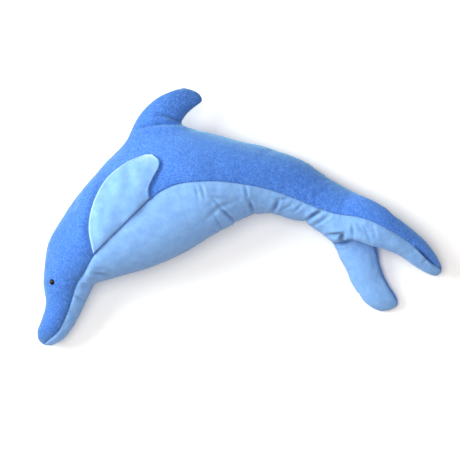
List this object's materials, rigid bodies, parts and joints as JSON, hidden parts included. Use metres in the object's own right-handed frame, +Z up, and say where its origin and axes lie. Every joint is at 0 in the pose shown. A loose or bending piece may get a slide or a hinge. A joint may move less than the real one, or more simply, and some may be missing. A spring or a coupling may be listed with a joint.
{
  "type": "plush dolphin",
  "caption": "Stuffed cloth dolphin lying on its side, with blue brushed back halves, light cotton belly, flippers and flukes.",
  "frame": {"origin": "centre of the bounding box at its base, on the surface that the dolphin lies on", "axes": "+Z up through the side that lies uppermost, +X along the length from the snout to the upper fluke, +Y towards the dorsal fin"},
  "size_m": [0.443, 0.2854, 0.0913],
  "materials": {
    "fleece_blue": "brushed cotton flannel, medium blue, fuzzy and matt",
    "cotton_light_blue": "smooth woven cotton, light blue",
    "fibre_filling": "loose polyester fibre",
    "eye_black": "polished black",
    "washer_plastic": "plain white"
  },
  "bodies": {
    "root": {"back_panel_left": "fleece_blue", "back_panel_right": "fleece_blue", "belly_panel": "cotton_light_blue", "flipper_left_outer": "cotton_light_blue", "flipper_left_inner": "cotton_light_blue", "flipper_right_outer": "cotton_light_blue", "flipper_right_inner": "cotton_light_blue", "stuffing": "fibre_filling", "eye_left": "eye_black", "eye_right": "eye_black", "eye_washer_left": "washer_plastic", "eye_washer_right": "washer_plastic"}
  },
  "joints": []
}
